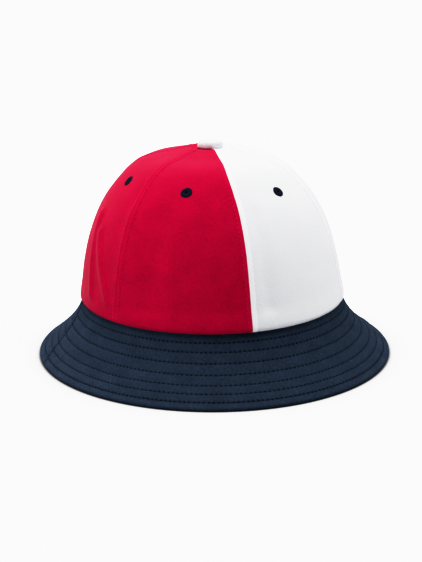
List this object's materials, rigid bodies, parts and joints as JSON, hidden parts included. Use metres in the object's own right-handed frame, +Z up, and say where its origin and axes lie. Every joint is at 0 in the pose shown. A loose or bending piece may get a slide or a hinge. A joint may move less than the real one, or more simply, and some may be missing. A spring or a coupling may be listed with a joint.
{
  "type": "bell bucket hat",
  "caption": "Panelled cotton bucket hat with a two-colour domed crown, embroidered vent eyelets, a covered top button and a stitched bell-shaped brim.",
  "frame": {"origin": "middle of the resting plane under the brim's rim, below the crown's tip", "axes": "+Z up through the top button, -Y towards the front of the hat, -X towards the wearer's right (the red half)"},
  "size_m": [0.2386, 0.2744, 0.1458],
  "materials": {
    "red_cloth": "crimson cotton twill, matt with a faint sheen",
    "white_cloth": "white cotton twill, matt",
    "navy_cloth": "navy cotton twill, matt, with rows of topstitching",
    "navy_thread": "navy embroidery thread, slight sheen",
    "button_cloth": "white cotton twill stretched over a button"
  },
  "bodies": {
    "root": {"crown_red_front": "red_cloth", "crown_red_side": "red_cloth", "crown_red_back": "red_cloth", "crown_white_front": "white_cloth", "crown_white_side": "white_cloth", "crown_white_back": "white_cloth", "eyelet_red_front": "navy_thread", "eyelet_red_side": "navy_thread", "eyelet_red_back": "navy_thread", "eyelet_white_front": "navy_thread", "eyelet_white_side": "navy_thread", "eyelet_white_back": "navy_thread", "brim_upper_front": "navy_cloth", "brim_upper_back": "navy_cloth", "brim_under_front": "navy_cloth", "brim_under_back": "navy_cloth", "top_button": "button_cloth"}
  },
  "joints": []
}
